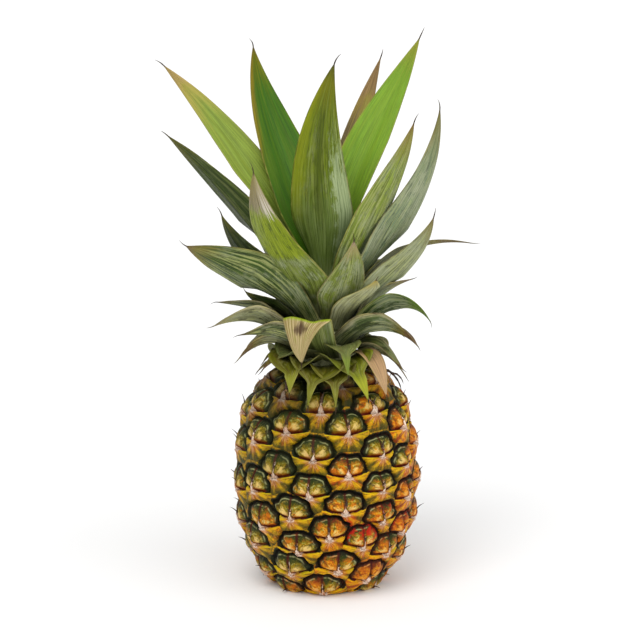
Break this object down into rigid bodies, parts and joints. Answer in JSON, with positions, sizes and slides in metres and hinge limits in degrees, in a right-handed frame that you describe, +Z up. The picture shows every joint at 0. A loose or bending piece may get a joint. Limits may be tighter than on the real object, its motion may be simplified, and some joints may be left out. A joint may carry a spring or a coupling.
{
  "type": "pineapple",
  "caption": "Ripe whole pineapple standing upright, a barrel-shaped fruit with a rind of domed eyes and a crown of stiff pointed leaves.",
  "frame": {"origin": "centre of the flat base that the fruit stands on, on the axis of the fruit", "axes": "+Z up along the axis of the fruit, from its base to its crown; +X to the right and -Y to the front as pictured"},
  "size_m": [0.1951, 0.1622, 0.341],
  "materials": {
    "fruit_skin": "rough waxy fruit rind, olive green to orange, dark grooves between the eyes",
    "crown_stem": "pale green fibrous stem",
    "leaf": "smooth fibrous leaf, green with a grey waxy bloom",
    "old_leaf": "older leaf, olive to tan with dry tips"
  },
  "bodies": {
    "root": {"crown_stem": "crown_stem", "fruit_body": "fruit_skin", "leaf_01_right_tall": "leaf", "leaf_02_centre_tall": "leaf", "leaf_03_back_left_tall": "leaf", "leaf_04_back_thread_tip": "leaf", "leaf_05_back_upright": "leaf", "leaf_06_left_long": "leaf", "leaf_07_right_striped": "leaf", "leaf_08_right_grey": "leaf", "leaf_09_back_right_mid": "leaf", "leaf_10_back_mid": "leaf", "leaf_11_front_left_broad": "leaf", "leaf_12_left_dark": "leaf", "leaf_13_back_left_mid": "leaf", "leaf_14_front_right_broad": "leaf", "leaf_15_right_hooked": "leaf", "leaf_16_left_small": "leaf", "leaf_17_right_pale": "leaf", "leaf_18_back_arching": "leaf", "leaf_19_back_left_arching": "leaf", "leaf_20_left_front": "leaf", "leaf_21_right_front_pale": "leaf", "leaf_22_back_right_arching": "leaf", "leaf_23_left_shaded": "leaf", "leaf_24_right_curled": "leaf", "leaf_25_back_low": "leaf", "leaf_26_left_back_low": "leaf", "leaf_27_right_arching": "leaf", "leaf_28_left_level": "leaf", "leaf_29_front_folded": "leaf", "leaf_30_right_drooping": "leaf", "leaf_31_back_right_low": "leaf", "leaf_32_left_pale": "leaf", "leaf_33_back_left_low": "leaf", "leaf_34_right_low": "leaf", "leaf_35_left_front_low": "leaf", "leaf_36_back_short": "old_leaf", "leaf_37_left_tan": "old_leaf", "leaf_38_left_back_short": "old_leaf", "leaf_39_front_bent": "leaf", "leaf_40_right_short": "old_leaf", "leaf_41_back_right_short": "old_leaf", "leaf_42_left_lowest": "old_leaf", "leaf_43_shoulder_right_tan": "old_leaf", "leaf_44_shoulder_back_left": "old_leaf", "leaf_45_shoulder_front_right": "old_leaf", "leaf_46_shoulder_left": "old_leaf", "leaf_47_shoulder_back": "old_leaf", "leaf_48_shoulder_front_left": "old_leaf", "leaf_49_shoulder_right": "old_leaf", "leaf_50_shoulder_front": "old_leaf", "leaf_51_shoulder_left_low": "old_leaf", "leaf_52_shoulder_front_low": "old_leaf"}
  },
  "joints": []
}
